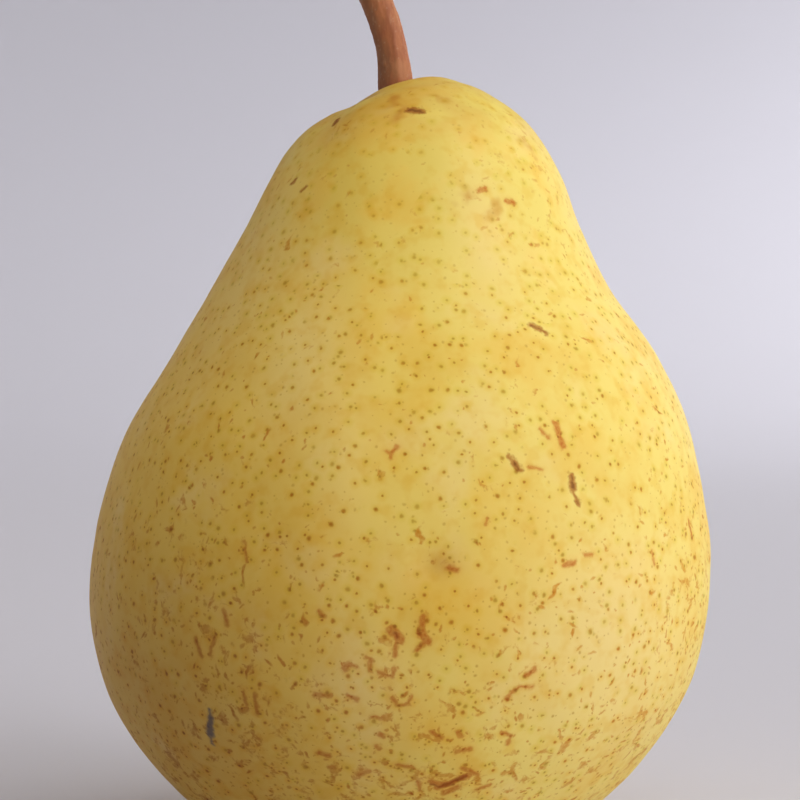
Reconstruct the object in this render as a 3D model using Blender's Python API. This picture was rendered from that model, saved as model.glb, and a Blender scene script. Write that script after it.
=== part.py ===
"""A ripe pear that stands on its calyx end.

One solid fruit, its stem in a shallow socket at the top, and the dried flower parts that stay in
the basin underneath: five sepals round a crown of withered stamens.
Metres, +Z up. The origin is in the middle of the model's box, on the surface it stands on.
"""
import math

import bmesh
import bpy
import numpy as np

MM = 0.001
GAP = 0.3  # clearance between pieces that touch on a real pear, in mm, as are all sizes below

# Two outlines of the fruit as (radius, height), from the lip of the stem's socket down to the ring
# that it stands on: on the side that the neck leans to, and on the side away from it.
LEANING_OUTLINE = [
    (2.4, 89.2), (5.2, 90.0), (10.8, 88.0), (15.4, 84.4), (19.0, 78.6), (21.2, 72.4), (24.5, 65.6),
    (30.3, 57.2), (34.1, 47.0), (35.8, 33.0), (33.6, 20.8), (27.2, 10.6), (18.8, 3.0), (12.4, 0.0),
]
FAR_OUTLINE = [
    (2.4, 88.5), (3.8, 87.3), (6.2, 85.6), (10.2, 82.6), (14.5, 77.4), (18.1, 71.6), (21.5, 65.6),
    (26.3, 57.4), (32.4, 47.0), (35.8, 33.0), (34.4, 20.8), (28.2, 10.6), (19.2, 3.0), (12.4, 0.0),
]
LEAN_HEADING = -20  # degrees, as every heading is: 0 is +X and 90 is +Y
FRONT_TO_BACK = 0.985  # depth of the fruit against its width

# The basin round the calyx, from the inner edge of the resting ring up to its flat bed.
BASIN_OUTLINE = [(9.4, 0.0), (8.4, 0.5), (6.9, 2.3), (5.4, 4.9), (4.2, 6.0), (3.2, 6.2)]
RING_INSIDE = BASIN_OUTLINE[0][0]
BASIN_BED_Z = BASIN_OUTLINE[-1][1]

# Soft swellings and folds of the skin, each (heading, its spread, height, its spread, bulge).
SWELLINGS = [
    (176, 30, 81.5, 4.5, 0.7),  # a second, lower shoulder beside the stem
    (229, 10, 83.0, 5.5, -0.9),  # the fold between the two shoulders
    (262, 9, 42.0, 14.0, 0.35),  # a ridge down the front
    (15, 26, 80.0, 7.0, 0.3),
    (100, 30, 60.0, 14.0, 0.5),
    (310, 34, 26.0, 14.0, 0.4),
]
RIBS = [  # (how many round the fruit, turn in degrees, height, its spread, depth)
    (3, 40, 34.0, 20.0, 0.30),
    (5, 18, 5.0, 8.0, 0.55),
]

FRUIT_COLUMNS = 64
FRUIT_ROWS = 40

# The stem's middle line, from the floor of its socket to its swollen end, and its radius along it.
STEM_LINE = [
    (-0.5, 0.8, 86.5), (-0.55, 0.8, 89.6), (-0.85, 0.8, 92.6), (-1.6, 0.85, 95.8), (-2.75, 0.9, 99.0),
    (-4.4, 1.1, 102.8), (-6.6, 1.4, 106.8), (-9.1, 1.8, 110.6), (-10.5, 2.0, 112.4), (-11.1, 2.1, 113.2),
]
STEM_RADII = [1.85, 1.95, 1.85, 1.82, 1.82, 1.85, 1.9, 2.3, 2.75, 2.3]
STEM_ROWS = 28
STEM_SIDES = 16
STEM_FOOT = (STEM_LINE[0][0], STEM_LINE[0][1])
SOCKET_RADIUS = 2.4
SOCKET_FLOOR_Z = STEM_LINE[0][2] - GAP

SEPALS = 5
SEPAL_TURN = 18
SEPAL_LINE = [(3.0, BASIN_BED_Z - GAP - 0.25), (3.3, 4.5), (4.0, 3.1), (5.0, 2.2)]  # (radius, height)
SEPAL_WIDTHS = [1.3, 1.5, 1.05, 0.3]  # from the middle line to each edge
SEPAL_THICKNESS = [0.5, 0.45, 0.4, 0.25]
SEPAL_ROWS = 10
SEPAL_SIDES = 12

CROWN_TEETH = 10
CROWN_RADIUS = 1.75
CROWN_WALL = 0.45
CROWN_BAND = 0.9  # height of the closed ring that the teeth grow from
CROWN_TOOTH = 1.9


def along(points, t):
    """The place a share t of the way along a smooth curve through the points."""
    points = np.asarray(points, float)
    last = len(points) - 1
    i = min(int(t * last), last - 1)
    s = t * last - i
    before = points[i - 1] if i else 2 * points[0] - points[1]
    after = points[i + 2] if i + 2 <= last else 2 * points[last] - points[last - 1]
    a, b = points[i], points[i + 1]
    return (
        2 * a
        + (b - before) * s
        + (2 * before - 5 * a + 4 * b - after) * s * s
        + (3 * a - before - 3 * b + after) * s ** 3
    ) / 2


def bell(distance, spread):
    """1 at no distance, falling smoothly to nothing."""
    return math.exp(-0.5 * (distance / spread) ** 2)


def between(heading, other):
    """Degrees from one heading to another, the short way round."""
    return (heading - other + 180) % 360 - 180


def swelling(heading, z):
    """How far the skin stands out of its plain outline."""
    out = sum(
        bulge * bell(between(heading, at), wide) * bell(z - level, tall)
        for at, wide, level, tall, bulge in SWELLINGS
    )
    ribs = sum(
        depth * math.cos(math.radians(count * heading + turn)) * bell(z - level, tall)
        for count, turn, level, tall, depth in RIBS
    )
    return out + ribs


def towards_stem(z):
    """Shift of the fruit's axis, which bends to the stem's foot in the top of the neck."""
    s = min(max((z - 70) / (STEM_LINE[1][2] - 70), 0), 1)
    s = s * s * (3 - 2 * s)
    return STEM_FOOT[0] * s, STEM_FOOT[1] * s


def skin_point(t, heading):
    """A point of the skin: t is 0 at the socket's lip and 1 at the resting ring's outer edge."""
    share = (1 + math.cos(math.radians(heading - LEAN_HEADING))) / 2
    r, z = share * along(LEANING_OUTLINE, t) + (1 - share) * along(FAR_OUTLINE, t)
    r += swelling(heading, z) * min(t * 6, 1)
    x, y = towards_stem(z)
    turn = math.radians(heading)
    return r * math.cos(turn) + x, FRONT_TO_BACK * r * math.sin(turn) + y, max(z, 0)


def headings(count):
    return [360 * i / count for i in range(count)]


def circle(centre, radius, z, count):
    return [
        (
            centre[0] + radius * math.cos(math.radians(heading)),
            centre[1] + radius * math.sin(math.radians(heading)),
            z,
        )
        for heading in headings(count)
    ]


def basin_ring(radius, z):
    """A ring of the basin, which the five ribs round the calyx pull out of round."""
    count, turn, _, _, depth = RIBS[1]
    ring = []
    for heading in headings(FRUIT_COLUMNS):
        turn_here = math.radians(heading)
        r = radius + depth * math.cos(math.radians(count * heading + turn)) * radius / RING_INSIDE
        ring.append((r * math.cos(turn_here), r * math.sin(turn_here), z))
    return ring


def lofted(name, rings, material):
    """One closed solid: a skin over rings of points, its first and last ring filled."""
    shape = bmesh.new()
    rows = [[shape.verts.new([c * MM for c in point]) for point in ring] for ring in rings]
    for row, following in zip(rows, rows[1:]):
        for i in range(len(row)):
            j = (i + 1) % len(row)
            shape.faces.new((row[i], row[j], following[j], following[i]))
    shape.faces.new(reversed(rows[0]))
    shape.faces.new(rows[-1])
    bmesh.ops.triangulate(shape, faces=[f for f in shape.faces if len(f.verts) > 4])
    bmesh.ops.recalc_face_normals(shape, faces=shape.faces)
    mesh = bpy.data.meshes.new(name)
    shape.to_mesh(mesh)
    shape.free()
    mesh.shade_smooth()
    mesh.set_sharp_from_angle(angle=math.radians(40))
    mesh.materials.append(material)
    piece = bpy.data.objects.new(name, mesh)
    bpy.context.scene.collection.objects.link(piece)
    return piece


def finish(name, colour, roughness):
    material = bpy.data.materials.new(name)
    material.use_nodes = True
    shader = material.node_tree.nodes["Principled BSDF"]
    shader.inputs["Base Color"].default_value = (*colour, 1)
    shader.inputs["Roughness"].default_value = roughness
    shader.inputs["Metallic"].default_value = 0
    return material


def fruit():
    rings = [circle(STEM_FOOT, SOCKET_RADIUS, SOCKET_FLOOR_Z, FRUIT_COLUMNS)]
    for row in range(FRUIT_ROWS + 1):
        rings.append([skin_point(row / FRUIT_ROWS, h) for h in headings(FRUIT_COLUMNS)])
    for radius, z in BASIN_OUTLINE:
        rings.append(basin_ring(radius, z))
    return lofted("fruit", rings, finish("skin", (0.72, 0.50, 0.09), 0.45))


def tube_rings(line, radii, rows, sides):
    """Round cross-sections square to a smooth line in space."""
    rings = []
    for row in range(rows + 1):
        t = row / rows
        middle = along(line, t)
        ahead = along(line, min(t + 0.01, 1)) - along(line, max(t - 0.01, 0))
        ahead /= np.linalg.norm(ahead)
        across = np.cross((0, 1, 0), ahead)
        across /= np.linalg.norm(across)
        up = np.cross(ahead, across)
        radius = float(along([(r,) for r in radii], t)[0])
        turns = [math.radians(heading) for heading in headings(sides)]
        rings.append([middle + radius * (math.cos(a) * across + math.sin(a) * up) for a in turns])
    return rings


def stem():
    rings = tube_rings(STEM_LINE, STEM_RADII, STEM_ROWS, STEM_SIDES)
    return lofted("stem", rings, finish("stem_bark", (0.30, 0.11, 0.045), 0.6))


def sepal(number, material):
    """A small dried leaf that stands in the basin with its tip curled outwards."""
    turn = math.radians(SEPAL_TURN + 360 * (number - 1) / SEPALS)
    outwards = np.array((math.cos(turn), math.sin(turn), 0))
    across = np.array((-math.sin(turn), math.cos(turn), 0))
    rings = []
    for row in range(SEPAL_ROWS + 1):
        t = row / SEPAL_ROWS
        r, z = along(SEPAL_LINE, t)
        ahead = along(SEPAL_LINE, min(t + 0.01, 1)) - along(SEPAL_LINE, max(t - 0.01, 0))
        ahead /= np.linalg.norm(ahead)
        through = -ahead[1] * outwards + ahead[0] * np.array((0, 0, 1))
        width = float(along([(w,) for w in SEPAL_WIDTHS], t)[0])
        thickness = float(along([(w,) for w in SEPAL_THICKNESS], t)[0])
        middle = r * outwards + np.array((0, 0, z))
        rings.append([
            middle
            + width * math.cos(math.radians(a)) * across
            + thickness / 2 * math.sin(math.radians(a)) * through
            for a in headings(SEPAL_SIDES)
        ])
    return lofted(f"sepal_{number}", rings, material)


def stamen_crown(material):
    """The withered stamens: a low ring with a point for each bundle, leaning inwards."""
    sides = CROWN_TEETH * 4
    foot = BASIN_BED_Z - GAP
    outside, inside = [], []
    for i, heading in enumerate(headings(sides)):
        tooth = (1 - math.cos(2 * math.pi * i / 4)) / 2
        tip_z = foot - CROWN_BAND - CROWN_TOOTH * tooth
        tip_radius = CROWN_RADIUS - 0.55 * tooth
        outside += circle((0, 0), tip_radius, tip_z, sides)[i:i + 1]
        inside += circle((0, 0), tip_radius - CROWN_WALL, tip_z, sides)[i:i + 1]
    rings = [
        circle((0, 0), CROWN_RADIUS, foot, sides),
        circle((0, 0), CROWN_RADIUS, foot - CROWN_BAND, sides),
        outside,
        inside,
        circle((0, 0), CROWN_RADIUS - CROWN_WALL, foot - CROWN_BAND, sides),
        circle((0, 0), CROWN_RADIUS - CROWN_WALL, foot - CROWN_BAND / 2, sides),
    ]
    return lofted("stamen_crown", rings, material)


def centre_on_box(pieces):
    """Moves the pieces' points so that the origin is the middle of the box, at its bottom."""
    points = np.array([v.co for piece in pieces for v in piece.data.vertices])
    low, high = points.min(0), points.max(0)
    shift = -(low + high) / 2
    shift[2] = -low[2]
    for piece in pieces:
        for vertex in piece.data.vertices:
            vertex.co = np.array(vertex.co) + shift
        piece.data.update()


def main():
    for old in list(bpy.data.objects):
        bpy.data.objects.remove(old)
    dry = finish("dry_calyx", (0.085, 0.05, 0.028), 0.85)
    pieces = [fruit(), stem()]
    pieces += [sepal(number, dry) for number in range(1, SEPALS + 1)]
    pieces.append(stamen_crown(dry))
    centre_on_box(pieces)


main()
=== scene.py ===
"""A ripe yellow pear on a pale sweep, lit softly from the right."""
import math

import bmesh
import bpy
import numpy as np
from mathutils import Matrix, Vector
from mathutils.bvhtree import BVHTree


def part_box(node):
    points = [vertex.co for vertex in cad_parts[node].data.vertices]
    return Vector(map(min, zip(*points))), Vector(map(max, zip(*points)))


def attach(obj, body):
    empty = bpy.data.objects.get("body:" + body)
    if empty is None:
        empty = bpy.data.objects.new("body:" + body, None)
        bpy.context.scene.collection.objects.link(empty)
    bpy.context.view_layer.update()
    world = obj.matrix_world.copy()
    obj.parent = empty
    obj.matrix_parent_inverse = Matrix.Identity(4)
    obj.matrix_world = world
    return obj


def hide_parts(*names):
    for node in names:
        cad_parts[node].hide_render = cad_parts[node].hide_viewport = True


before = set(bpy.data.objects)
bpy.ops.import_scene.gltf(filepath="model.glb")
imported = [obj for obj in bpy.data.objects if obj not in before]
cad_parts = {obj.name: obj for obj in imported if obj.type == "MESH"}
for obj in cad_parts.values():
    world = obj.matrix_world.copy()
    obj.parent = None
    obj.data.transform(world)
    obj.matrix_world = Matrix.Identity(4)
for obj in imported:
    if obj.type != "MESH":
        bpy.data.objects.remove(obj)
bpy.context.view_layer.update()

MM = 0.001  # the shapes and patterns below are in millimetres, and headings in degrees from +X
LINE_RESOLUTION = 16  # points that a smooth line has from one corner to the next
FRUIT_GRID = (300, 236)  # columns round a piece and rows along it
STEM_GRID = (96, 260)
SEPAL_GRID = (40, 60)
SKIN_MERGE, FINE_MERGE = 0.02, 0.01  # points closer together than this become one
STEM_SHRINK = 0.06  # keeps the ridges of the bark inside the stem's width
STAMENS_Z = 5.35

# ---- the fruit's shape ------------------------------------------------------------------------

# Outlines as (radius, height), from under the stem to the middle of the calyx basin: on the side
# that the neck leans to, and on the side away from it. Points of the same number are joined round
# the fruit, so both sides have as many.
UNDER_STEM = [(0.0, 87.7), (1.5, 88.0)]
LEANING_SIDE = [
    (2.4, 89.2), (5.2, 90.0), (7.9, 89.3), (11.0, 88.0), (15.5, 84.5), (19.0, 78.6), (21.2, 72.4),
    (24.5, 65.6), (30.3, 57.2), (34.1, 47.0), (35.8, 33.0), (33.6, 20.8), (27.2, 10.6), (18.8, 3.0),
    (12.4, 0.0),
]
FAR_SIDE = [
    (2.4, 88.1), (4.2, 86.7), (5.5, 85.7), (7.5, 85.1), (10.8, 82.6), (14.7, 77.5), (18.1, 71.6),
    (21.5, 65.6), (26.3, 57.4), (32.4, 47.0), (35.8, 33.0), (34.4, 20.8), (28.2, 10.6), (19.2, 3.0),
    (12.4, 0.0),
]
BASIN = [(9.4, 0.0), (8.4, 0.5), (6.9, 2.3), (5.4, 4.9), (4.2, 6.0), (3.2, 6.2), (0.0, 6.25)]
LEAN_HEADING = -20
STEM_FOOT = (-0.5, 0.8)
NECK_Z, LIP_Z = 70, 89.6  # between these heights the fruit's axis bends over to the stem's foot

# Bulges and hollows: (heading, its spread, height, its spread, how far out).
SWELLINGS = [
    (178, 26, 82.5, 3.5, 0.5),  # the lower shoulder beside the stem
    (226, 13, 85.0, 4.0, -0.75),  # the fold between the two shoulders
    (259, 7, 44.0, 13.0, 0.30),  # a ridge down the front, and the furrow beside it
    (268, 5, 40.0, 12.0, -0.14),
    (15, 26, 80.0, 7.0, 0.3),
    (100, 30, 60.0, 14.0, 0.5),
    (310, 34, 26.0, 14.0, 0.4),
    (275.6, 2.9, 37.6, 1.7, -0.34),  # a small dimple on the front
]
# Soft ribs: (how many round the fruit, turn, height, its spread, depth).
RIBS = [(3, 40, 34.0, 20.0, 0.30), (5, 18, 5.0, 8.0, 0.55)]


class Wire:
    """An output of a node tree, on which arithmetic with values adds Math nodes."""

    def __init__(self, tree, socket):
        self.tree, self.socket = tree, socket

    def out(self, name):
        """Another output of the same node."""
        return Wire(self.tree, self.socket.node.outputs[name])

    def math(self, operation, *others):
        return self.tree.node("ShaderNodeMath", {"operation": operation}, dict(enumerate(others)))

    def __add__(self, other):
        return self.math("ADD", self, other)

    def __radd__(self, other):
        return self.math("ADD", other, self)

    def __sub__(self, other):
        return self.math("SUBTRACT", self, other)

    def __rsub__(self, other):
        return self.math("SUBTRACT", other, self)

    def __mul__(self, other):
        return self.math("MULTIPLY", self, other)

    def __rmul__(self, other):
        return self.math("MULTIPLY", other, self)

    def __truediv__(self, other):
        return self.math("DIVIDE", self, other)

    def __rtruediv__(self, other):
        return self.math("DIVIDE", other, self)

    def __neg__(self):
        return self.math("MULTIPLY", self, -1)

    def do(self, operation, *others):
        """Any one Math operation with this value first."""
        return self.math(operation, self, *others)


class Tree:
    """Adds nodes to a node tree."""

    def __init__(self, node_tree):
        self.node_tree = node_tree

    def node(self, kind, settings=None, inputs=None, output=0):
        """A node of any type, its settings first, then values or wires for its inputs."""
        made = self.node_tree.nodes.new(kind)
        for name, value in (settings or {}).items():
            setattr(made, name, value)
        for name, value in (inputs or {}).items():
            if isinstance(value, Wire):
                self.node_tree.links.new(value.socket, made.inputs[name])
            elif value is not None:
                made.inputs[name].default_value = value
        return Wire(self, made.outputs[output]) if len(made.outputs) else made

    def vector(self, operation, *values, output=0):
        values = dict(enumerate(values))
        return self.node("ShaderNodeVectorMath", {"operation": operation}, values, output)

    def length(self, vector):
        return self.vector("LENGTH", vector, output="Value")

    def dot(self, a, b):
        return self.vector("DOT_PRODUCT", a, b, output="Value")

    def split(self, vector):
        """The x, y and z of a vector."""
        parts = self.node("ShaderNodeSeparateXYZ", {}, {0: vector})
        return parts, parts.out("Y"), parts.out("Z")

    def joined(self, x, y, z):
        return self.node("ShaderNodeCombineXYZ", {}, {0: x, 1: y, 2: z})

    def scaled(self, vector, factor):
        values = {0: vector, "Scale": factor}
        return self.node("ShaderNodeVectorMath", {"operation": "SCALE"}, values)

    def mix(self, share, a, b, blend="MIX"):
        """Colour a where share is 0, and b where it is 1."""
        a, b = (c if isinstance(c, Wire) else (*c, 1) for c in (a, b))
        settings = {"data_type": "RGBA", "blend_type": blend}
        return self.node("ShaderNodeMix", settings, {0: share, 6: a, 7: b}, 2)

    def stained(self, share, a, b):
        """Colour a where share is 0, and a times b where it is 1."""
        return self.mix(share, a, b, "MULTIPLY")

    def smooth(self, value, start, end):
        """0 at start, 1 at end, with a soft step between."""
        limits = {0: value, 1: start, 2: end, 3: 0, 4: 1}
        return self.node("ShaderNodeMapRange", {"interpolation_type": "SMOOTHSTEP"}, limits)

    def ramp(self, value, start, end):
        """0 at start, 1 at end, with a straight step between."""
        return self.node("ShaderNodeMapRange", {}, {0: value, 1: start, 2: end, 3: 0, 4: 1})

    def noise(self, place, size, detail=2, seed=0, roughness=0.5):
        """Noise from 0 to 1 about this many mm from crest to crest; seed moves it elsewhere."""
        elsewhere = (seed * 37.1, seed * -23.7, seed * 11.3)
        moved = self.vector("ADD", place, elsewhere) if seed else place
        return self.node("ShaderNodeTexNoise", {"noise_dimensions": "3D"}, {
            "Vector": moved, "Scale": 1 / size, "Detail": detail, "Roughness": roughness,
        })

    def bell(self, heading, z, at, wide, level, tall):
        """1 in one place of the fruit's side, falling to 0 round it."""
        turned = (heading - math.radians(at)).do("COSINE")
        risen = (z - level) / tall
        return ((turned - 1) / math.radians(wide) ** 2 - risen * risen / 2).do("EXPONENT")


def geometry_tree(name, **sizes):
    """A Geometry Nodes tree with a named input for each size, and its Tree and group input."""
    group = bpy.data.node_groups.new(name, "GeometryNodeTree")
    group.interface.new_socket("Geometry", in_out="OUTPUT", socket_type="NodeSocketGeometry")
    kinds = {int: "NodeSocketInt", float: "NodeSocketFloat", bpy.types.Object: "NodeSocketObject"}
    for label, value in sizes.items():
        kind = bpy.types.Object if isinstance(value, bpy.types.Object) else type(value)
        socket = group.interface.new_socket(
            label.replace("_", " "), in_out="INPUT", socket_type=kinds[kind]
        )
        socket.default_value = value
    tree = Tree(group)
    start = group.nodes.new("NodeGroupInput")
    inputs = {label: Wire(tree, start.outputs[label.replace("_", " ")]) for label in sizes}
    return group, tree, inputs


def end_tree(tree, geometry, material):
    """Closes a tree: instances made real, the material set, and the result sent out."""
    real = tree.node("GeometryNodeRealizeInstances", {}, {0: geometry})
    dressed = tree.node("GeometryNodeSetMaterial", {}, {0: real, "Material": material})
    end = tree.node_tree.nodes.new("NodeGroupOutput")
    tree.node_tree.links.new(dressed.socket, end.inputs[0])


def grown(name, group, **sizes):
    """The plain mesh object that a tree makes with these sizes."""
    piece = bpy.data.objects.new(name, bpy.data.meshes.new(name))
    bpy.context.scene.collection.objects.link(piece)
    modifier = piece.modifiers.new("growth", "NODES")
    modifier.node_group = group
    for item in group.interface.items_tree:
        label = item.name.replace(" ", "_")
        if item.in_out == "INPUT":
            modifier[item.identifier] = sizes.get(label, item.default_value)
    graph = bpy.context.evaluated_depsgraph_get()
    mesh = bpy.data.meshes.new_from_object(
        piece.evaluated_get(graph), preserve_all_data_layers=True, depsgraph=graph
    )
    piece.modifiers.remove(modifier)
    piece.data = mesh
    mesh.name = name
    return piece


def line_object(name, points, radii=None):
    """A guide line through points in mm, which trees read and the render leaves out."""
    curve = bpy.data.curves.new(name, "CURVE")
    curve.dimensions = "3D"
    spline = curve.splines.new("POLY")
    spline.points.add(len(points) - 1)
    for i, point in enumerate(points):
        spline.points[i].co = (*point, 1)
        spline.points[i].radius = radii[i] if radii else 1
    guide = bpy.data.objects.new(name, curve)
    bpy.context.scene.collection.objects.link(guide)
    return guide


def smooth_line(tree, guide):
    """The guide object's line, rounded through its points."""
    line = tree.node("GeometryNodeObjectInfo", {}, {"Object": guide}, "Geometry")
    line = tree.node("GeometryNodeCurveSplineType", {"spline_type": "CATMULL_ROM"}, {0: line})
    values = {0: line, "Resolution": LINE_RESOLUTION}
    return tree.node("GeometryNodeSetSplineResolution", {}, values)


def sampled(tree, guide, share, value):
    """What a value is at a share of the way along a guide line; its node also gives the place."""
    return tree.node(
        "GeometryNodeSampleCurve", {"mode": "FACTOR", "use_all_curves": True, "data_type": "FLOAT"},
        {"Curves": smooth_line(tree, guide), "Value": value, "Factor": share}, "Value",
    )


def sheet_of(tree, size, bake_map=False):
    """A flat sheet to wrap round a shape, and how far round and along it each point is, 0 to 1."""
    sheet = tree.node("GeometryNodeMeshGrid", {}, {
        "Size X": 1.0, "Size Y": 1.0,
        "Vertices X": size["Columns"] + 1, "Vertices Y": size["Rows"] + 1,
    })
    x, y, _ = tree.split(tree.node("GeometryNodeInputPosition"))
    if bake_map:
        sheet = tree.node(
            "GeometryNodeStoreNamedAttribute", {"data_type": "FLOAT2", "domain": "CORNER"},
            {0: sheet, "Name": "OFBake", "Value": sheet.out("UV Map")},
        )
    return sheet, x + 0.5, y + 0.5


def noted(tree, geometry, name, value):
    """Stores a number on each point, which the finish reads."""
    return tree.node(
        "GeometryNodeStoreNamedAttribute", {"data_type": "FLOAT", "domain": "POINT"},
        {0: geometry, "Name": name, "Value": value},
    )


def placed_at(tree, geometry, position):
    """Moves each point to its place, given in mm."""
    scaled = tree.scaled(position, MM)
    return tree.node("GeometryNodeSetPosition", {}, {0: geometry, "Position": scaled})


def joined_up(tree, *parts):
    whole = tree.node("GeometryNodeJoinGeometry")
    for part in parts:
        tree.node_tree.links.new(part.socket, whole.socket.node.inputs[0])
    return whole


def circle(tree, points, radius):
    sizes = {"Resolution": points, "Radius": radius}
    return tree.node("GeometryNodeCurvePrimitiveCircle", {"mode": "RADIUS"}, sizes)


def matching(tree, guide, step):
    """The point of a guide line that has this many of its corners before it."""
    line = smooth_line(tree, guide)
    points = tree.node("GeometryNodeCurveToPoints", {"mode": "EVALUATED"}, {0: line})
    index = step * LINE_RESOLUTION
    whole = index.do("FLOOR")
    pick = {"data_type": "FLOAT_VECTOR", "domain": "POINT", "clamp": True}
    place = tree.node("GeometryNodeInputPosition")
    here, after = (
        tree.node("GeometryNodeSampleIndex", pick, {
            "Geometry": points, "Value": place, "Index": whole + ahead,
        })
        for ahead in (0.0, 1.0)
    )
    gap = tree.vector("SUBTRACT", after, here)
    return tree.vector("ADD", here, tree.scaled(gap, index - whole))


def fruit_tree(material, leaning, far):
    """The fruit: a sheet wrapped round its axis between two outlines, then swollen and lumped."""
    group, tree, size = geometry_tree(
        "fruit shape", Leaning_Side=leaning, Far_Side=far,
        Columns=FRUIT_GRID[0], Rows=FRUIT_GRID[1], Lean_Heading=float(LEAN_HEADING),
        Depth_To_Width=0.985, Lump_Height=0.3, Lump_Width=11.0,
    )
    sheet, share_round, share_up = sheet_of(tree, size, bake_map=True)
    heading = share_round * math.tau
    corner = tree.node("GeometryNodeInputIndex")
    step = sampled(tree, size["Leaning_Side"], 1 - share_up, corner)
    near_r, _, near_z = tree.split(step.out("Position"))
    far_r, _, far_z = tree.split(matching(tree, size["Far_Side"], step))
    lean = (heading - size["Lean_Heading"] * math.radians(1)).do("COSINE") / 2 + 0.5
    radius = far_r + lean * (near_r - far_r)
    z = far_z + lean * (near_z - far_z)
    swollen = radius
    fade = tree.smooth(radius, 2, 7)
    for at, wide, level, tall, bulge in SWELLINGS:
        swollen = swollen + tree.bell(heading, z, at, wide, level, tall) * bulge * fade
    for count, turn, level, tall, depth in RIBS:
        wave = (heading * count + math.radians(turn)).do("COSINE") * depth
        rise = (z - level) / tall
        swollen = swollen + wave * (rise * rise * -0.5).do("EXPONENT") * tree.smooth(radius, 0, 9)
    bent = tree.smooth(z, NECK_Z, LIP_Z)
    across = swollen * heading.do("COSINE") + bent * STEM_FOOT[0]
    deep = swollen * size["Depth_To_Width"] * heading.do("SINE") + bent * STEM_FOOT[1]
    skin = placed_at(tree, sheet, tree.joined(across, deep, z.do("MAXIMUM", 0.0)))
    closed = tree.node("GeometryNodeMergeByDistance", {}, {0: skin, "Distance": SKIN_MERGE * MM})
    here = tree.scaled(tree.node("GeometryNodeInputPosition"), 1 / MM)
    level = tree.split(here)[2]
    lumps = (tree.noise(here, size["Lump_Width"], detail=1.5, seed=3) - 0.62) * 2
    ripples = (tree.noise(here, 4.2, detail=2, seed=5) - 0.55) * 0.35
    push = (lumps + ripples) * size["Lump_Height"] * tree.smooth(level, 0.3, 6)
    offset = tree.scaled(tree.node("GeometryNodeInputNormal"), push * MM)
    lumped = tree.node("GeometryNodeSetPosition", {}, {0: closed, "Offset": offset})
    end_tree(tree, lumped, material)
    return group


def stem_tree(material, guide):
    """The stem: a sheet wrapped round its line, ridged lengthwise, with a torn, rounded end."""
    group, tree, size = geometry_tree(
        "stem shape", Line=guide, Columns=STEM_GRID[0], Rows=STEM_GRID[1], Ridge_Height=0.13,
        Bark_Height=0.09, Wart_Height=0.10, Torn_Depth=0.55,
    )
    sheet, share_round, up = sheet_of(tree, size, bake_map=True)
    around = share_round * math.tau
    # the first and last shares of the rows close the two ends
    foot, tip = 0.03, 0.90
    along = tree.ramp(up, foot, tip)
    closing = tree.ramp(up, tip, 1.0)
    opening = tree.ramp(up, 0.0, foot)
    radius = sampled(tree, size["Line"], along, tree.node("GeometryNodeInputRadius"))
    tangent, normal = radius.out("Tangent"), radius.out("Normal")
    side = tree.vector("CROSS_PRODUCT", tangent, normal)
    out = tree.vector(
        "ADD", tree.scaled(normal, around.do("COSINE")), tree.scaled(side, around.do("SINE"))
    )
    # the rim turns over in a quarter circle, and the torn face inside it sinks a little
    rim = tree.smooth(closing, 0.0, 0.35)
    share = (1 - closing * closing) * (1 - rim * 0.12) * opening
    place = tree.vector("ADD", radius.out("Position"), tree.scaled(out, radius * share))
    grain = tree.joined(around.do("COSINE") * 1.6, around.do("SINE") * 1.6, along * 3.0)
    ridges = (tree.noise(grain, 1.1, detail=2, seed=2) - 0.5) * 2 * size["Ridge_Height"]
    bark = (tree.noise(place, 0.9, detail=3, seed=7) - 0.5) * 2 * size["Bark_Height"]
    warts = tree.smooth(tree.noise(place, 1.7, detail=1, seed=4), 0.62, 0.74) * size["Wart_Height"]
    push = (ridges + bark + warts) * tree.smooth(1 - closing, 0.0, 0.6) * opening
    place = tree.vector("ADD", place, tree.scaled(out, push - STEM_SHRINK))
    sunk = tree.smooth(closing, 0.15, 0.6) * size["Torn_Depth"]
    torn = (tree.noise(place, 0.7, detail=3, seed=9) - 0.3) * closing * 0.5
    place = tree.vector("SUBTRACT", place, tree.scaled(tangent, sunk + torn))
    lined = placed_at(tree, sheet, place)
    for label, value in (("along", along), ("torn", closing), ("ridges", ridges)):
        lined = noted(tree, lined, label, value)
    closed = tree.node("GeometryNodeMergeByDistance", {}, {0: lined, "Distance": FINE_MERGE * MM})
    end_tree(tree, closed, material)
    return group


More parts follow.
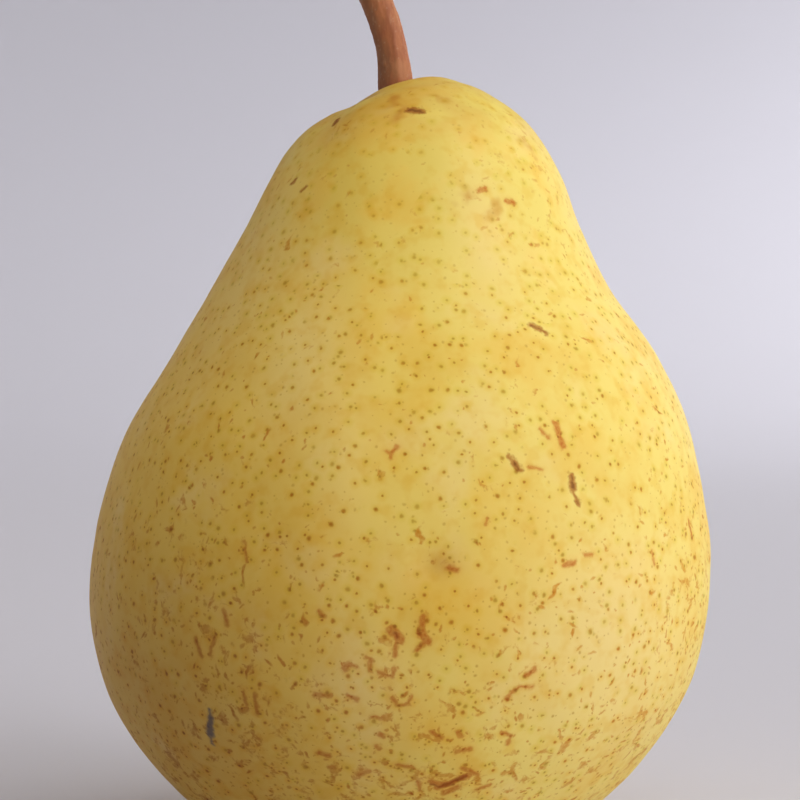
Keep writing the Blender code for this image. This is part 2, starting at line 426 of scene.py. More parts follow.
def sepal_tree(material, guide):
    """One dried sepal: a flattened tube round its line, crinkled, with its edges rolled in."""
    group, tree, size = geometry_tree(
        "sepal shape", Line=guide, Seed=0, Columns=SEPAL_GRID[0], Rows=SEPAL_GRID[1],
        Thickness=0.30, Crinkle=0.28, Roll=0.45, Vein_Height=0.05,
    )
    sheet, share_round, along = sheet_of(tree, size)
    around = share_round * math.tau
    half_width = sampled(tree, size["Line"], along, tree.node("GeometryNodeInputRadius"))
    tangent = half_width.out("Tangent")
    side = tree.vector("NORMALIZE", tree.vector("CROSS_PRODUCT", tangent, (0, 0, 1)))
    out = tree.vector("CROSS_PRODUCT", side, tangent)
    end = tree.smooth(along, 0.0, 0.06) * tree.smooth(along, 1.0, 0.93)
    width = half_width * around.do("COSINE") * end
    depth = size["Thickness"] / 2 * around.do("SINE") * end
    curl = around.do("COSINE") * around.do("COSINE") * size["Roll"] * half_width
    place = tree.vector("ADD", half_width.out("Position"), tree.scaled(side, width))
    elsewhere = tree.joined(size["Seed"] * 13.7, size["Seed"] * -7.9, 0.0)
    seeded = tree.vector("ADD", place, elsewhere)
    crinkle = (tree.noise(seeded, 1.5, detail=2) - 0.5) * 2 * size["Crinkle"]
    veins = (around.do("COSINE") * 9 + tree.noise(seeded, 2.0) * 4).do("SINE") * size["Vein_Height"]
    place = tree.vector("ADD", place, tree.scaled(out, depth + curl + crinkle + veins * end))
    shaped = placed_at(tree, sheet, place)
    closed = tree.node("GeometryNodeMergeByDistance", {}, {0: shaped, "Distance": FINE_MERGE * MM})
    end_tree(tree, closed, material)
    return group


def stamens_tree(material):
    """The withered stamens: bent threads with knobbed ends, standing on a low ring, point down."""
    group, tree, size = geometry_tree(
        "stamen shape", Threads=22, Ring_Radius=1.35, Length=2.5, Thickness=0.14, Knob=0.24,
        Band=0.42, Unevenness=0.22, Seed=11,
    )
    tip = tree.joined(-0.2, 0.15, -size["Length"])
    line = tree.node("GeometryNodeCurveQuadraticBezier", {}, {
        "Resolution": 8, "Start": (0, 0, 0), "Middle": (0.5, 0.1, -1.3), "End": tip,
    })
    thick = size["Thickness"] * (1.1 - tree.node("GeometryNodeSplineParameter") * 0.35)
    thread = tree.node("GeometryNodeCurveToMesh", {}, {
        "Curve": line, "Profile Curve": circle(tree, 6, 1.0), "Scale": thick, "Fill Caps": True,
    })
    ball = {"Radius": size["Knob"], "Subdivisions": 2}
    knob = tree.node("GeometryNodeTransform", {}, {
        0: tree.node("GeometryNodeMeshIcoSphere", {}, ball),
        "Translation": tip, "Scale": (0.8, 1.0, 1.35),
    })
    stamen = joined_up(tree, thread, knob)
    ring = circle(tree, size["Threads"], size["Ring_Radius"])
    feet = tree.node("GeometryNodeCurveToPoints", {"mode": "EVALUATED"}, {0: ring})

    def random(low, high, salt):
        return tree.node("FunctionNodeRandomValue", {"data_type": "FLOAT"}, {
            2: low, 3: high, "Seed": size["Seed"] + salt,
        }, 1)

    spread = tree.node("FunctionNodeRandomValue", {"data_type": "FLOAT_VECTOR"}, {
        0: (-0.25, -0.25, -0.15), 1: (0.25, 0.25, 0.05), "Seed": size["Seed"] + 1,
    }, 0)
    feet = tree.node("GeometryNodeSetPosition", {}, {0: feet, "Offset": spread})
    turned = tree.joined(random(-0.25, 0.25, 2), random(-0.25, 0.25, 3), random(0.0, math.tau, 4))
    stretched = tree.joined(1.0, 1.0, random(0.65, 1.12, 5))
    tuft = tree.node("GeometryNodeInstanceOnPoints", {}, {
        "Points": feet, "Instance": stamen, "Rotation": turned, "Scale": stretched,
    })
    real = tree.node("GeometryNodeRealizeInstances", {}, {0: tuft})
    # the ring that the threads stand on
    band = tree.node("GeometryNodeCurveToMesh", {}, {
        "Curve": circle(tree, 48, size["Ring_Radius"]),
        "Profile Curve": circle(tree, 12, size["Band"]),
    })
    here = tree.node("GeometryNodeInputPosition")
    rough = (tree.noise(here, 0.6, detail=2, seed=1) - 0.5) * size["Unevenness"]
    uneven = tree.node("GeometryNodeSetPosition", {}, {
        0: joined_up(tree, real, band),
        "Offset": tree.scaled(tree.node("GeometryNodeInputNormal"), rough),
    })
    placed = tree.node("GeometryNodeTransform", {}, {
        0: uneven, "Translation": (0, 0, STAMENS_Z * MM), "Scale": (MM, MM, MM),
    })
    end_tree(tree, placed, material)
    return group


# ---- finishes ---------------------------------------------------------------------------------


def finish(name, **constants):
    """A new material: its Tree, its shader node and the place on the piece in mm."""
    material = bpy.data.materials.new(name)
    material.use_nodes = True
    shader = material.node_tree.nodes["Principled BSDF"]
    for socket, value in constants.items():
        shader.inputs[socket.replace("_", " ")].default_value = value
    tree = Tree(material.node_tree)
    place = tree.scaled(tree.node("ShaderNodeTexCoord", {}, {}, "Object"), 1 / MM)
    return material, tree, shader, place


def feed(tree, shader, **wires):
    for socket, wire in wires.items():
        tree.node_tree.links.new(wire.socket, shader.inputs[socket.replace("_", " ")])


def bumped(tree, height, strength, depth):
    """The normal of a skin with this relief, its whole depth in mm."""
    values = {"Strength": strength, "Distance": depth * MM, "Height": height}
    return tree.node("ShaderNodeBump", {}, values)


def cells(tree, place, normal, spacing, seed):
    """Cells scattered in the flesh: for the nearest one, its offset along the skin, how deep it is
    under the skin, and three random numbers of its own, apart and as one colour."""
    moved = tree.vector("ADD", place, (seed * 17.3, seed * 5.9, seed * -11.7))
    nearest = tree.node("ShaderNodeTexVoronoi", {"feature": "F1"}, {
        "Vector": moved, "Scale": 1 / spacing, "Randomness": 1.0,
    }, "Position")
    offset = tree.vector("SUBTRACT", moved, nearest)
    depth = tree.dot(offset, normal)
    along = tree.vector("SUBTRACT", offset, tree.scaled(normal, depth))
    random = nearest.out("Color")
    parts = tree.node("ShaderNodeSeparateColor", {}, {0: random})
    return along, depth.do("ABSOLUTE"), (parts, parts.out("Green"), parts.out("Blue"), random)


def pores(tree, place, normal, spacing, seed, sizes, reach, density):
    """Round pores: how much each covers, its wide halo, and its own random number for the hue."""
    along, depth, (luck, big, hue, _) = cells(tree, place, normal, spacing, seed)
    across = tree.length(along)
    there = tree.smooth(depth, reach, reach * 0.7) * (density - luck).do("GREATER_THAN", 0.0)
    core = tree.smooth(across / (sizes[0] + big * big * (sizes[1] - sizes[0])), 1.55, 0.3)
    halo = tree.smooth(across, 0.85, 0.1)
    return core * there, halo * there, hue


def strokes(tree, place, normal, spacing, seed, longest, width, density):
    """Short strokes of russet, each turned its own way along the skin."""
    along, depth, (luck, big, _, colour) = cells(tree, place, normal, spacing, seed)
    heading = tree.vector("SUBTRACT", colour, (0.5, 0.5, 0.5))
    heading = tree.vector("NORMALIZE", tree.vector("CROSS_PRODUCT", normal, heading))
    length = tree.dot(along, heading)
    across = tree.dot(along, along) - length * length
    reach = length / (longest * (0.2 + big * big * 0.8))
    oval = (reach * reach + across / (width * width)).do("SQRT")
    there = tree.smooth(depth, 0.45, 0.3) * (density - luck).do("GREATER_THAN", 0.0)
    return tree.smooth(oval, 1.6, 0.5) * there


def marks(tree, place, skin_at, rows):
    """How far a place is from the edge of the nearest stroke between two given points of the
    skin, each (heading, height, heading, height, half its width); below 0 inside it."""
    nearest = 9.0
    for from_heading, from_z, to_heading, to_z, half in rows:
        start = skin_at(from_heading, from_z)
        line = skin_at(to_heading, to_z) - start
        offset = tree.vector("SUBTRACT", place, start)
        share = tree.dot(offset, line / line.length_squared)
        share = share.do("MINIMUM", 1.0).do("MAXIMUM", 0.0)
        gap = tree.vector("DISTANCE", offset, tree.scaled(line, share), output="Value") - half
        nearest = gap.do("MINIMUM", nearest)
    return nearest


# Colours of the skin's ground.
GOLD = (0.88, 0.58, 0.085)
LEMON = (0.87, 0.68, 0.155)
AMBER = (0.83, 0.50, 0.05)
CREAM = (0.90, 0.68, 0.23)
GREENISH = (0.74, 0.60, 0.11)

# Where the skin is paler or deeper yellow: each (heading, its spread, height, its spread, share).
PALE_PATCHES = [
    (-52, 13, 30.0, 7.0, 1.0), (-100, 4, 48.0, 6.0, 0.35), (-40, 14, 22.0, 7.0, 0.6),
    (-95, 5, 26.0, 4.0, 0.5), (-64, 7, 72.0, 7.0, 0.5), (-112, 7, 58.0, 6.0, 0.6),
    # the last patch on the next line, by the small dimple on the front, is a painted highlight on
    # the dimple's wall that faces the window
    (-140, 12, 68.0, 9.0, 0.6), (60, 20, 40.0, 9.0, 0.6), (-87.2, 1.3, 37.1, 0.8, 0.6),
]
DEEP_PATCHES = [(-83, 7, 34.0, 3.5, 0.8), (-70, 8, 40.0, 5.0, 0.3), (120, 20, 55.0, 10.0, 0.5)]
# Where russet crowds: each (heading, its spread, height, its spread).
RUSSET_PATCHES = [
    (-110, 12, 20.0, 6.0), (-82, 14, 13.0, 4.5), (-24, 12, 36.0, 10.0), (-34, 18, 77.0, 7.0),
    (-131, 14, 38.0, 8.0), (30, 16, 20.0, 8.0), (150, 14, 45.0, 10.0),
]

# Marks, each (heading, height, heading, height, half its width). Purple-brown scars:
SCARS = [
    (-58.1, 46.3, -58.2, 45.1, 0.26), (-58.2, 45.5, -58.2, 45.1, 0.40),
    (-58.2, 44.8, -57.6, 43.7, 0.12), (-57.6, 43.7, -57.4, 43.5, 0.24),
    (-58.4, 61.8, -56.4, 61.5, 0.26), (-56.4, 61.4, -55.0, 61.0, 0.22),
    (-86.2, 85.2, -78.4, 85.1, 0.25), (-84.6, 85.3, -80.0, 85.25, 0.46),
    (-82.0, 14.0, -77.4, 15.2, 0.10), (-84.0, 14.4, -81.6, 14.0, 0.02),
    (-90.9, 30.9, -90.4, 30.6, 0.06), (-69.2, 47.8, -68.3, 47.2, 0.28),
    (-70.0, 48.6, -69.2, 47.8, 0.12), (-133.8, 84.6, -132.2, 84.1, 0.32),
    (-138.0, 77.3, -136.2, 77.7, 0.16), (-129.4, 76.4, -128.0, 76.9, 0.12),
]
# A blue-grey bruise low on the left.
BRUISES = [
    (-125.3, 20.9, -126.7, 18.9, 0.34), (-125.0, 21.8, -125.3, 20.9, 0.08),
    (-126.9, 18.6, -127.0, 17.8, 0.1),
]
# Soft orange stains, chiefly round the stem.
STAINS = [
    (-94.5, 87.0, -92.0, 84.4, 0.45), (-68.0, 86.7, -62.0, 86.4, 0.35),
    (-70.0, 75.4, -67.6, 75.8, 0.5), (-60.4, 73.6, -58.0, 74.4, 0.35),
    (-150.0, 86.6, -120.0, 87.4, 0.4), (-36.0, 82.5, -30.0, 80.5, 0.4),
]
# Strokes and small patches of russet.
RUSSET_STROKES = [
    (-59.6, 51.7, -59.1, 49.4, 0.24), (-63.0, 51.2, -61.7, 50.3, 0.12),
    (-66.6, 47.4, -64.0, 47.1, 0.05), (-90.6, 49.6, -91.4, 49.1, 0.13),
    (-91.6, 49.0, -92.6, 49.2, 0.04), (-91.6, 49.0, -91.7, 48.5, 0.07),
    (-61.2, 37.3, -59.2, 37.5, 0.15), (-57.0, 38.2, -55.5, 38.2, 0.07),
    (-75.0, 42.4, -75.4, 41.7, 0.03), (-81.8, 37.5, -80.4, 37.3, 0.14),
    (-53.4, 75.2, -50.4, 75.0, 0.2), (-63.0, 76.2, -60.4, 76.5, 0.16),
    # the patches and curls below the middle of the front
    (-91.4, 31.2, -90.3, 30.6, 0.44), (-90.7, 30.9, -90.0, 30.3, 0.36),
    (-90.6, 30.0, -90.9, 28.7, 0.14), (-86.3, 32.6, -86.5, 31.2, 0.22),
    (-86.5, 31.2, -85.6, 30.2, 0.38), (-85.6, 30.2, -87.3, 29.2, 0.20),
    (-99.1, 27.3, -98.4, 27.7, 0.22), (-98.4, 27.7, -97.2, 27.5, 0.08),
    (-95.8, 28.5, -94.9, 28.2, 0.07), (-94.9, 28.2, -94.9, 27.1, 0.14),
    (-93.6, 26.9, -91.3, 26.5, 0.09), (-91.3, 26.5, -91.0, 27.4, 0.1),
    (-91.3, 24.3, -90.5, 23.4, 0.1), (-90.5, 23.4, -88.6, 23.5, 0.1),
    (-88.6, 23.5, -88.0, 24.4, 0.07), (-126.2, 29.4, -125.1, 27.7, 0.13),
    (-122.4, 29.8, -123.4, 27.8, 0.1), (-117.4, 24.3, -117.1, 22.8, 0.08),
    (-115.2, 24.0, -115.2, 22.0, 0.12), (-104.4, 24.4, -101.9, 24.4, 0.16),
    (-98.9, 24.4, -97.3, 24.1, 0.14), (-95.0, 22.1, -93.2, 22.0, 0.12),
    (-98.0, 15.5, -95.9, 15.9, 0.18), (-90.3, 16.7, -87.6, 16.4, 0.12),
    (-105.1, 17.9, -103.1, 17.6, 0.20), (-84.4, 20.4, -82.6, 19.8, 0.18),
    (-79.6, 20.3, -79.2, 19.9, 0.24), (-79.7, 18.1, -77.2, 18.4, 0.16),
    (-94.2, 18.9, -93.8, 18.6, 0.16), (-93.5, 20.2, -93.2, 20.0, 0.18),
    (-71.3, 23.8, -69.6, 24.9, 0.13), (-69.6, 24.9, -66.8, 24.9, 0.06),
    (-68.2, 26.1, -66.6, 26.7, 0.18), (-71.5, 20.1, -69.6, 19.5, 0.11),
    (-69.6, 19.5, -70.1, 18.7, 0.1), (-103.4, 33.0, -102.6, 32.6, 0.15),
    (-82.5, 13.9, -76.6, 15.3, 0.34), (-81.0, 13.3, -78.5, 13.9, 0.30),
    (-84.1, 14.7, -80.7, 14.2, 0.22), (-78.0, 16.2, -74.9, 15.3, 0.18),
    (-74.3, 13.4, -71.7, 14.0, 0.15), (-86.5, 14.6, -86.0, 13.6, 0.12),
    (-120.4, 32.6, -119.8, 31.1, 0.12), (-117.2, 39.8, -116.4, 37.8, 0.05),
    (-26.6, 40.2, -26.0, 38.4, 0.14), (-40.8, 37.8, -40.5, 36.4, 0.05),
]


def skin_finish(skin_at):
    """Yellow skin with pores, flecks of russet and the placed marks."""
    material, tree, shader, place = finish("pear_skin", Roughness=0.46, Specular_IOR_Level=0.18)
    normal = tree.node("ShaderNodeNewGeometry", {}, {}, "Normal")
    x, y, z = tree.split(place)
    heading = y.do("ARCTAN2", x)
    crooked = tree.noise(place, 0.8, detail=2, seed=6).out("Color")
    crooked = tree.vector("SUBTRACT", crooked, (0.5, 0.5, 0.5))
    bent = tree.vector("ADD", place, tree.scaled(crooked, 0.3))
    ragged = tree.vector("ADD", place, tree.scaled(crooked, 0.6))
    sway = tree.noise(place, 2.4, detail=1, seed=7).out("Color")
    sway = tree.vector("SUBTRACT", sway, (0.5, 0.5, 0.5))
    wobbly = tree.vector("ADD", ragged, tree.scaled(sway, 2.2))
    grit = tree.noise(place, 0.4, detail=1, seed=12)
    stains = tree.noise(place, 2.1, detail=2, seed=14)

    # the ground colour: gold on the cheek turned from the window and lemon on the cheek facing it,
    # partly the skin's own tone and partly painted light; greener round the neck
    broad = tree.noise(place, 19, detail=2, seed=1)
    patchy = tree.noise(place, 6.5, detail=3, seed=2)
    high = tree.smooth(z, 55, 86)
    low = tree.smooth(z, 46, 8)
    # partly painted light: paler lemon toward the window lamps, deeper gold away from them
    lit_side_and_tone = tree.bell(heading, z, -20, 50, 35, 60)
    # painted shade on the lower-left cheek, turned from the window; it also dulls the pores and
    # russet there
    painted_shade_low_left = tree.bell(heading, z, -137, 31, 20, 16)
    ground = tree.mix(tree.smooth(broad * 0.5 + lit_side_and_tone, 0.25, 0.95), GOLD, LEMON)
    ground = tree.mix(tree.smooth(patchy, 0.42, 0.70) * 0.5, ground, AMBER)
    ground = tree.mix(high * tree.smooth(patchy, 0.62, 0.38) * 0.4, ground, GREENISH)
    cream = tree.noise(place, 9, detail=3, seed=15)
    ground = tree.mix(tree.smooth(cream, 0.52, 0.72) * 0.6, ground, CREAM)
    for patches, colour in ((PALE_PATCHES, CREAM), (DEEP_PATCHES, AMBER)):
        for at, wide, level, tall, share in patches:
            ground = tree.mix(tree.bell(heading, z, at, wide, level, tall) * share, ground, colour)
    # painted shade: the lower-left cheek darkened toward purple-grey
    ground = tree.stained(painted_shade_low_left, ground, (0.58, 0.52, 0.62))
    # painted shade: the top round the stem is darkened in patches
    painted_shade_top = tree.smooth(z, 79, 87.5) * tree.smooth(patchy, 0.28, 0.58)
    ground = tree.stained(painted_shade_top * 0.75, ground, (0.80, 0.72, 0.68))
    # painted shade on the small dimple's wall that faces away from the window
    shadowed = tree.bell(heading, z, -83.2, 1.6, 37.9, 0.9)
    ground = tree.stained(shadowed * 0.8, ground, (0.78, 0.66, 0.58))
    from_axis = tree.length(tree.joined(x, y, 0.0))
    russet_ends = tree.smooth(z, 4.5, 0.6).do("MAXIMUM", tree.smooth(from_axis, 4.6, 2.2))
    russet_ends = russet_ends * tree.smooth(broad * 0.4 + stains * 0.6, 0.36, 0.58)
    ground = tree.stained(russet_ends * 0.75, ground, (0.62, 0.42, 0.24))

    # pores: sparse, faint and greenish on the neck, crowded and rusty low down
    ground = tree.stained(tree.smooth(stains, 0.47, 0.72) * 0.5, ground, (0.93, 0.78, 0.40))
    crowd = 0.95 - high * 0.35
    core, halo, hue = pores(tree, bent, normal, 1.38, 1, (0.13, 0.25), 0.42, crowd)
    small, _, _ = pores(tree, bent, normal, 1.05, 2, (0.08, 0.17), 0.32, 0.7 + low * 0.25)
    rusty = tree.smooth(hue, 0.35, 0.75) * (0.45 + low * 0.55)
    stain = tree.mix(rusty, (0.92, 0.88, 0.40), (0.98, 0.78, 0.36))
    ground = tree.stained(halo * 0.55, ground, stain)
    pore = tree.mix(rusty, (0.52, 0.36, 0.03), (0.64, 0.34, 0.08))
    # pores in the painted shade of the lower-left cheek are duller and purple
    pore = tree.mix(painted_shade_low_left, pore, (0.50, 0.35, 0.36))
    strong = core * (1 - high * 0.75) * (0.5 + hue * 0.5)

    # strokes and flecks of russet, crowded low down and on the sides
    patch = tree.smooth(tree.noise(place, 7.5, detail=2, seed=8), 0.42, 0.60)
    busy = low * (0.35 + patch * 0.65) + patch * 0.12
    for at, wide, level, tall in RUSSET_PATCHES:
        busy = busy + tree.bell(heading, z, at, wide, level, tall) * 0.6
    busy = busy.do("MINIMUM", 1.1)
    long_flecks = strokes(tree, wobbly, normal, 2.0, 3, 1.0, 0.19, busy * 0.55)
    fine_flecks = strokes(tree, ragged, normal, 1.35, 4, 0.5, 0.14, busy * 0.52 + 0.10)
    crumbs = tree.noise(wobbly, 1.7, detail=3, seed=9, roughness=0.62)
    crumbs = tree.smooth(crumbs + busy * 0.13, 0.66, 0.78)
    gap = marks(tree, ragged, skin_at, RUSSET_STROKES) + (grit - 0.5) * 0.4
    placed = tree.smooth(gap, 0.32, -0.08)
    russet = long_flecks.do("MAXIMUM", fine_flecks * 0.8).do("MAXIMUM", crumbs * 0.85)
    russet = (russet * (1 - high * 0.4)).do("MAXIMUM", placed) * (0.36 + grit * 0.95)
    ground = tree.stained(tree.smooth(gap, 0.9, 0.1) * 0.35, ground, (0.96, 0.80, 0.60))
    warm = tree.smooth(broad + patchy * 0.5, 0.62, 0.88)
    rust = tree.mix(warm, (0.73, 0.42, 0.22), (0.75, 0.43, 0.12))
    rust = tree.mix(placed, rust, (0.68, 0.32, 0.18))
    # russet in the painted shade of the lower-left cheek is duller and purple
    rust = tree.mix(painted_shade_low_left, rust, (0.60, 0.40, 0.34))
    ground = tree.stained(russet.do("MINIMUM", 1.0), ground, rust)
    faint = small * (0.45 + low * 0.3 - high * 0.2)
    ground = tree.stained(faint, ground, (0.62, 0.42, 0.12))
    ground = tree.stained(strong, ground, pore)

    # scars, stains round the stem and a bruise
    edge = (grit - 0.5) * 0.35
    gap = marks(tree, ragged, skin_at, SCARS) + edge
    scars = tree.smooth(gap, 0.32, -0.06)
    ground = tree.stained(scars * 0.95, ground, (0.56, 0.33, 0.24))
    ground = tree.stained(tree.smooth(gap, -0.04, -0.32) * 0.9, ground, (0.50, 0.38, 0.36))
    orange = tree.smooth(marks(tree, wobbly, skin_at, STAINS), 0.9, -0.4)
    orange = orange * tree.smooth(stains, 0.30, 0.60)
    ground = tree.stained(orange * 0.8, ground, (0.80, 0.58, 0.40))
    bruises = tree.smooth(marks(tree, ragged, skin_at, BRUISES) + edge, 0.38, -0.16)
    ground = tree.mix(bruises * 0.9, ground, (0.09, 0.072, 0.068))

    raised = tree.noise(place, 0.55, detail=2, seed=13) * 0.25 - core * 0.5
    bump = bumped(tree, raised, 0.3, 0.1)
    matt = (russet * 0.8).do("MAXIMUM", scars).do("MAXIMUM", strong * 0.5)
    feed(tree, shader, Base_Color=ground, Roughness=0.44 + patchy * 0.08 + matt * 0.2, Normal=bump)
    return material


def stem_finish():
    """Red-brown bark with fibres and scuffs, darker at its broken end, with painted shade at its
    foot, a side turned from the window that is partly painted shade and partly more olive bark, and
    pith in the torn face.
    """
    material, tree, shader, place = finish("stem_bark", Roughness=0.55, Specular_IOR_Level=0.35)
    normal = tree.node("ShaderNodeNewGeometry", {}, {}, "Normal")

    along, torn, ridges = (
        tree.node("ShaderNodeAttribute", {"attribute_name": name}, {}, "Fac")
        for name in ("along", "torn", "ridges")
    )
    # fibres run up the stem: the pattern is drawn out along it
    lane = tree.vector("MULTIPLY", place, (1, 1, 0.22))
    fibre = tree.noise(lane, 0.55, detail=3, seed=1, roughness=0.6)
    blotch = tree.noise(place, 3.2, detail=3, seed=2)
    bark = tree.mix(tree.smooth(fibre, 0.35, 0.68), (0.41, 0.138, 0.043), (0.33, 0.102, 0.035))
    bark = tree.mix(tree.smooth(blotch, 0.50, 0.68) * 0.7, bark, (0.46, 0.185, 0.065))
    # partly painted shade, partly the bark's own tone: darker and more olive on the side turned
    # from the window, in blotches
    painted_shade_side = tree.dot(normal, (-0.85, -0.5, 0.1))
    painted_shade_side = tree.smooth(painted_shade_side + (blotch - 0.5) * 0.9, 0.35, 1.0)
    bark = tree.mix(painted_shade_side * 0.6, bark, (0.25, 0.125, 0.052))
    scuffs = tree.noise(lane, 0.8, detail=2, seed=5)
    bark = tree.mix(tree.smooth(scuffs, 0.62, 0.72) * 0.35, bark, (0.52, 0.26, 0.12))
    offset, depth, _ = cells(tree, place, normal, 0.8, 6)
    specks = tree.smooth(tree.length(offset), 0.16, 0.06) * tree.smooth(depth, 0.3, 0.2)
    bark = tree.mix(specks * 0.22, bark, (0.52, 0.33, 0.18))
    # painted shade: the foot of the stem, where it meets the fruit, is darkened
    foot = tree.smooth(along, 0.13, 0.06)
    bark = tree.mix(foot * 0.7, bark, (0.13, 0.07, 0.028))
    knob = tree.smooth(along, 0.80, 0.93)
    bark = tree.mix(knob * 0.6, bark, (0.13, 0.06, 0.035))
    crumbly = tree.noise(place, 0.5, detail=3, seed=8)
    pith = tree.mix(crumbly, (0.30, 0.19, 0.10), (0.09, 0.05, 0.028))
    bark = tree.mix(tree.smooth(torn, 0.10, 0.45), bark, pith)
    bump = bumped(tree, fibre + ridges * 2, 0.5, 0.12)
    feed(tree, shader, Base_Color=bark, Roughness=0.5 + fibre * 0.2, Normal=bump)
    return material


def dry_finish():
    """Withered brown, paler in scurfy patches, nearly black in the folds."""
    material, tree, shader, place = finish("dry_calyx", Roughness=0.85, Specular_IOR_Level=0.2)
    folds = tree.noise(place, 0.9, detail=3, seed=1)
    scurf = tree.noise(place, 0.22, detail=2, seed=2)
    dry = tree.mix(tree.smooth(folds, 0.36, 0.66), (0.045, 0.026, 0.016), (0.17, 0.10, 0.052))
    dry = tree.mix(tree.smooth(scurf, 0.58, 0.74) * 0.5, dry, (0.28, 0.20, 0.12))
    bump = bumped(tree, folds + scurf * 0.3, 0.6, 0.1)
    feed(tree, shader, Base_Color=dry, Roughness=0.75 + folds * 0.2, Normal=bump)
    return material


def sweep_finish():
    return finish("pale_sweep", Roughness=0.9, Base_Color=(0.68, 0.67, 0.715, 1))[0]


# ---- the pieces -------------------------------------------------------------------------------


def dressed(piece, slot, *nodes):
    """Finishes a piece: smooth, riding on the one body, and standing for its CAD nodes."""
    piece.data.shade_smooth()
    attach(piece, "root")
    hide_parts(*nodes)


def set_outwards(piece):
    """Turns every face of a closed piece outwards."""
    shape = bmesh.new()
    shape.from_mesh(piece.data)
    bmesh.ops.recalc_face_normals(shape, faces=shape.faces)
    if shape.calc_volume(signed=True) < 0:
        bmesh.ops.reverse_faces(shape, faces=shape.faces)
    shape.to_mesh(piece.data)
    shape.free()


def middle_of(node):
    low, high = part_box(node)
    return (low + high) / 2


def grow_fruit():
    """The fruit in its place; gives its guide lines, as the two below do."""
    sides = [
        line_object(name, [(r, 0, z) for r, z in UNDER_STEM + side + BASIN])
        for name, side in (("leaning side", LEANING_SIDE), ("far side", FAR_SIDE))
    ]
    fruit = grown("pear_fruit", fruit_tree(None, *sides))
    points = np.array([v.co for v in fruit.data.vertices])
    middle = middle_of("fruit")
    shift = Vector((
        middle.x - (points[:, 0].min() + points[:, 0].max()) / 2,
        middle.y - (points[:, 1].min() + points[:, 1].max()) / 2,
        0,
    ))
    for vertex in fruit.data.vertices:
        vertex.co += shift
    set_outwards(fruit)
    surface = BVHTree.FromPolygons(
        [v.co / MM for v in fruit.data.vertices], [tuple(p.vertices) for p in fruit.data.polygons]
    )

    def skin_at(heading, z):
        """The point of the skin at a heading in degrees and a height."""
        turn = math.radians(heading)
        out = Vector((math.cos(turn), math.sin(turn), 0))
        return surface.ray_cast(out * 60 + Vector((0, 0, z)), -out)[0]

    fruit.data.materials.clear()
    fruit.data.materials.append(skin_finish(skin_at))
    dressed(fruit, "skin", "fruit")
    return sides


# Through the middle of the stem, from its foot to its broken end.
STEM_LINE = [
    (-0.5, 0.8, 86.7), (-0.55, 0.8, 89.6), (-0.85, 0.8, 92.6), (-1.6, 0.85, 95.8),
    (-2.75, 0.9, 99.0), (-4.4, 1.1, 102.8), (-6.6, 1.4, 106.8), (-9.1, 1.8, 110.6),
    (-10.5, 2.0, 112.4), (-11.0, 2.1, 113.1),
]
STEM_RADII = [1.95, 2.05, 1.85, 1.82, 1.82, 1.85, 1.9, 2.3, 2.7, 2.4]


def grow_stem():
    guide = line_object("stem line", STEM_LINE, STEM_RADII)
    stem = grown("pear_stem", stem_tree(stem_finish(), guide))
    set_outwards(stem)
    dressed(stem, "stem_bark", "stem")
    return [guide]


# One sepal as (radius, height), from the bed of the basin outwards, and half its width there.
SEPAL_LINE = [(2.9, 5.75), (3.3, 4.6), (4.1, 3.2), (5.1, 2.3)]
SEPAL_WIDTHS = [1.2, 1.45, 1.05, 0.35]
FIRST_SEPAL = 18  # its heading; the others follow at equal steps


def grow_sepals():
    dry = dry_finish()
    guides = []
    for number in range(1, 6):
        turn = math.radians(FIRST_SEPAL + 72 * (number - 1))
        points = [(r * math.cos(turn), r * math.sin(turn), z) for r, z in SEPAL_LINE]
        guide = line_object(f"sepal line {number}", points, SEPAL_WIDTHS)
        guides.append(guide)
        sepal = grown(f"dried_sepal_{number}", sepal_tree(dry, guide), Seed=number)
        set_outwards(sepal)
        dressed(sepal, "dry_calyx", f"sepal_{number}")
    stamens = grown("withered_stamens", stamens_tree(dry))
    set_outwards(stamens)
    dressed(stamens, "dry_calyx", "stamen_crown")
    return guides


# ---- the stage --------------------------------------------------------------------------------


FLAT, BEND, WALL_TOP = 0.6, 1.1, 1.5  # radii and height of the sweep, in metres
SIDES, BEND_STEPS = 96, 12
FLOOR_GAP = 0.00003  # the floor lies this far under the pear


def sweep():
    """A pale floor that curves up into a low wall all round."""
    profile = [(FLAT, 0.0)]
    for i in range(1, BEND_STEPS + 1):
        a = math.radians(90 * i / BEND_STEPS)
        profile.append((FLAT + BEND * math.sin(a), BEND * (1 - math.cos(a))))
    profile.append((FLAT + BEND, WALL_TOP))
    shape = bmesh.new()
    rings = []
    for r, z in profile:
        rings.append([
            shape.verts.new((r * math.cos(a), r * math.sin(a), z - FLOOR_GAP))
            for a in (math.tau * i / SIDES for i in range(SIDES))
        ])
    shape.faces.new(rings[0])
    for lower, upper in zip(rings, rings[1:]):
        for i in range(SIDES):
            j = (i + 1) % SIDES
            shape.faces.new((lower[j], lower[i], upper[i], upper[j]))
    mesh = bpy.data.meshes.new("sweep")
    shape.to_mesh(mesh)
    shape.free()
    mesh.shade_smooth()
    mesh.materials.append(sweep_finish())
    floor = bpy.data.objects.new("sweep", mesh)
    bpy.context.scene.collection.objects.link(floor)


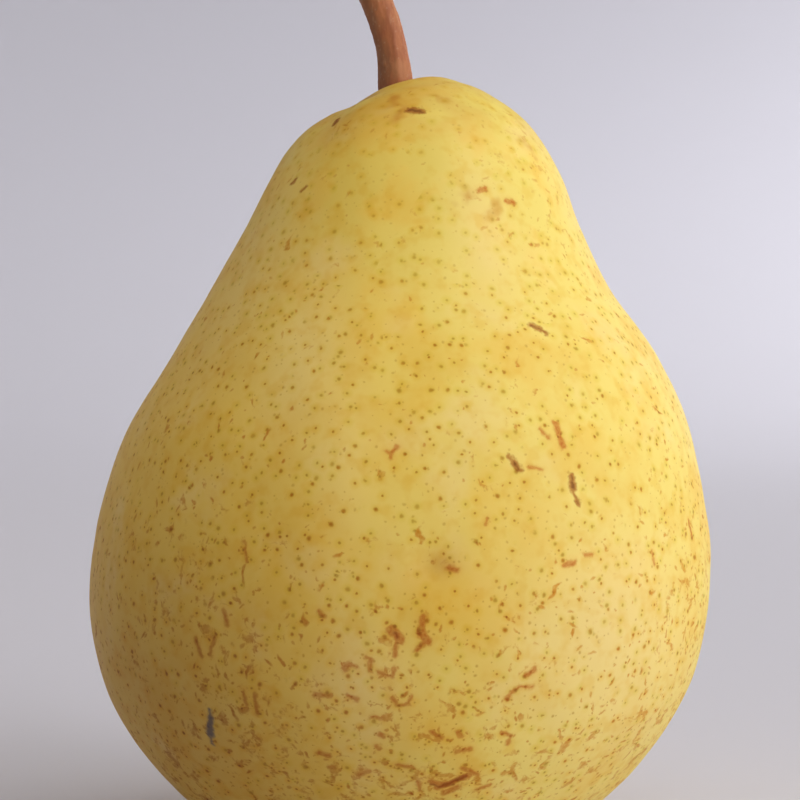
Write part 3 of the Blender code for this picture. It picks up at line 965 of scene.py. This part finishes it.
def lamp(name, place, target, size, power, colour, spread=180):
    """An area lamp turned to a target, which the camera doesn't see."""
    light = bpy.data.lights.new(name, "AREA")
    light.shape = "RECTANGLE"
    light.size, light.size_y = size
    light.energy = power
    light.color = colour
    light.spread = math.radians(spread)
    holder = bpy.data.objects.new(name, light)
    holder.location = place
    holder.rotation_euler = (Vector(target) - Vector(place)).to_track_quat("-Z", "Y").to_euler()
    holder.visible_camera = False
    bpy.context.scene.collection.objects.link(holder)


def light_stage():
    """A dim room, a large window on the right, and soft lamps for the ceiling and the sweep."""
    world = bpy.data.worlds.new("dim room")
    world.use_nodes = True
    background = world.node_tree.nodes["Background"]
    background.inputs["Color"].default_value = (1.0, 0.88, 0.74, 1)
    background.inputs["Strength"].default_value = 0.045
    bpy.context.scene.world = world
    pear = (0, 0, 0.05)
    daylight = (0.95, 0.96, 1.0)
    cool = (0.93, 0.94, 1.0)
    lamp("window", (0.95, -0.15, 0.62), pear, (1.5, 1.2), 9.1, daylight)
    lamp("window side", (0.85, -0.75, 0.45), pear, (0.9, 0.9), 6.2, daylight)
    lamp("ceiling", (0.0, -0.1, 1.15), pear, (1.2, 1.2), 5.0, (1.0, 0.93, 0.84))
    lamp("wall wash", (1.0, 1.0, 0.7), (0.45, 1.6, 0.15), (0.5, 0.5), 3.8, cool, 130)
    lamp("floor wash", (0.9, 0.9, 0.35), (0.3, 0.9, 0.05), (0.5, 0.5), 2.2, cool, 88)


def camera():
    """A long lens in front of the pear and a little above its middle."""
    eye = bpy.data.cameras.new("camera")
    eye.lens, eye.sensor_width = 100, 36
    eye.clip_start = 0.01
    viewer = bpy.data.objects.new("camera", eye)
    distance, elevation, target_z = 0.2585, math.radians(3), 0.0527
    rise = distance * math.sin(elevation)
    viewer.location = (0, -distance * math.cos(elevation), target_z + rise)
    viewer.rotation_euler = (math.radians(90) - elevation, 0, 0)
    bpy.context.scene.collection.objects.link(viewer)
    bpy.context.scene.camera = viewer


bpy.context.scene.view_settings.view_transform = "Standard"
camera()
for guide in grow_fruit() + grow_stem() + grow_sepals():
    bpy.data.objects.remove(guide)
sweep()
light_stage()
